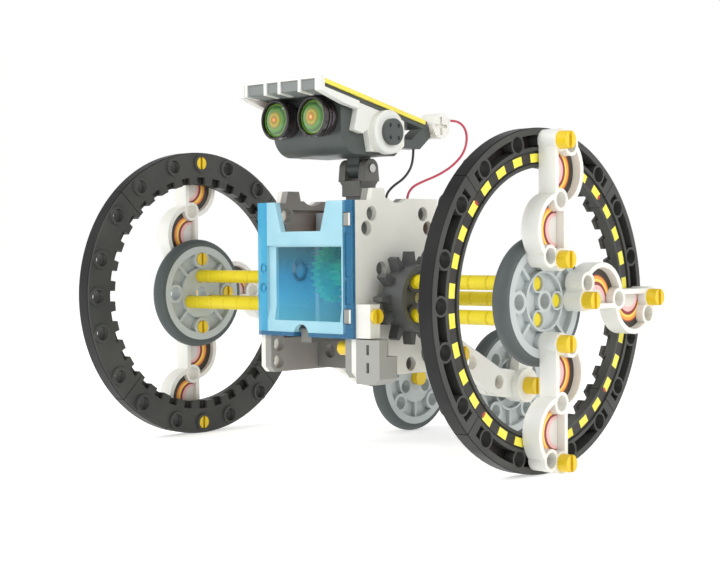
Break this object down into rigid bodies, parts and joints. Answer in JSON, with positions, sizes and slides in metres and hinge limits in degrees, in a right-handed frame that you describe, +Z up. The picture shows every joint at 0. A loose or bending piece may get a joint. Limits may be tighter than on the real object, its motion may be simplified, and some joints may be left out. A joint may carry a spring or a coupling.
{
  "type": "two wheel robot car",
  "caption": "Toy construction-kit robot on big ring wheels, with trailing casters, a motor gearbox and a tilting head with goggle eyes and a solar panel.",
  "frame": {"origin": "on the floor, under the middle of the bounding box; the wheel axle is 0.055 m above it and 0.0127 m in front of it", "axes": "+X along the axle to the robot's left side as it faces -Y; the robot faces -Y; +Z up"},
  "size_m": [0.1924, 0.1354, 0.1295],
  "materials": {
    "ring_grey": "moulded dark grey plastic, smooth tread",
    "tyre_rubber": "dull dark rubber",
    "hub_grey": "moulded light grey plastic",
    "offwhite": "satin off-white plastic",
    "yellow": "satin yellow plastic",
    "cover_blue": "translucent blue plastic",
    "gear_dark": "dark grey plastic",
    "frame_grey": "mid grey plastic",
    "foot_grey": "light grey plastic",
    "tray_dark": "dark grey-blue plastic",
    "gear_green": "green plastic gear",
    "gear_white": "natural white plastic gear",
    "steel": "plain steel",
    "motor_steel": "drawn steel can",
    "armature": "laminated iron and enamelled copper",
    "pinion_brass": "turned brass",
    "head_dark": "dark grey-green plastic",
    "barrel": "glossy near-black plastic with a maroon cast",
    "lens": "green and amber glass-like lens",
    "lip_grey": "light grey plastic",
    "solar_yellow": "yellow plastic tray",
    "solar_cells": "dark blue solar cells under clear resin",
    "track_print": "black printed strip with yellow dashes",
    "arm_print": "printed flame-like label",
    "wire_red": "red insulated wire",
    "wire_black": "black insulated wire"
  },
  "bodies": {
    "chassis": {"axle_block_left": "offwhite", "axle_block_right": "offwhite", "bearing_walls": "tray_dark", "body_pegs": "yellow", "caster_axles": "yellow", "foot_block": "foot_grey", "gearbox_cover": "cover_blue", "gearbox_tray": "tray_dark", "idler_pin": "steel", "leg_beam_left": "offwhite", "leg_beam_right": "offwhite", "lower_frame": "frame_grey", "motor_can": "motor_steel", "neck_pin": "steel", "neck_post": "frame_grey", "side_panel_left": "offwhite", "side_panel_right": "offwhite", "wire_black": "wire_black", "wire_red": "wire_red", "wire_sockets": "frame_grey"},
    "drive": {"ring_left": "ring_grey", "ring_right": "ring_grey", "track_decals": "track_print", "drive_hub_left": "hub_grey", "drive_hub_right": "hub_grey", "output_gear_left": "gear_dark", "output_gear_right": "gear_dark", "drive_tubes": "yellow", "drive_tyres": "tyre_rubber", "arm_decals": "arm_print", "wheel_pegs": "yellow", "axle_shaft": "steel", "axle_gear": "gear_white", "spoke_arm_bottom_left": "offwhite", "spoke_arm_bottom_right": "offwhite", "spoke_arm_rear_left": "offwhite", "spoke_arm_rear_right": "offwhite", "spoke_arm_top_left": "offwhite", "spoke_arm_top_right": "offwhite"},
    "idler": {"idler_gear": "gear_green"},
    "rotor": {"motor_shaft": "steel", "motor_armature": "armature", "motor_pinion": "pinion_brass"},
    "caster_left": {"caster_wheel_left": "hub_grey", "caster_tyre_left": "tyre_rubber"},
    "caster_right": {"caster_wheel_right": "hub_grey", "caster_tyre_right": "tyre_rubber"},
    "head": {"head_shell": "head_dark", "visor": "lip_grey", "visor_trim": "offwhite", "eye_barrels": "barrel", "eye_lenses": "lens", "head_cheeks": "offwhite", "side_discs": "offwhite", "side_caps": "head_dark", "solar_frame": "solar_yellow", "solar_cells": "solar_cells", "solar_base": "head_dark", "rear_arm": "head_dark", "connector_cap": "offwhite"}
  },
  "joints": [
    {"name": "drive_spin", "type": "hinge", "parent": "chassis", "child": "drive", "pos_m": [0, -0.0127, 0.055], "axis": [1, 0, 0], "continuous": true},
    {"name": "idler_spin", "type": "hinge", "parent": "chassis", "child": "idler", "pos_m": [0.004, -0.0221, 0.06369], "axis": [1, 0, 0], "continuous": true},
    {"name": "rotor_spin", "type": "hinge", "parent": "chassis", "child": "rotor", "pos_m": [0, -0.00949, 0.06591], "axis": [1, 0, 0], "continuous": true},
    {"name": "caster_left_spin", "type": "hinge", "parent": "chassis", "child": "caster_left", "pos_m": [-0.02355, 0.0467, 0.021], "axis": [1, 0, 0], "continuous": true},
    {"name": "caster_right_spin", "type": "hinge", "parent": "chassis", "child": "caster_right", "pos_m": [0.02355, 0.0467, 0.021], "axis": [1, 0, 0], "continuous": true},
    {"name": "head_tilt", "type": "hinge", "parent": "chassis", "child": "head", "pos_m": [0, -0.0075, 0.1006], "axis": [1, 0, 0], "range_deg": [-12, 18], "deforming": ["wire_red", "wire_black"]}
  ],
  "couplings": [
    {"joint": "idler_spin", "follows": "drive_spin", "ratio": -2.2},
    {"joint": "rotor_spin", "follows": "drive_spin", "ratio": 6.6}
  ]
}
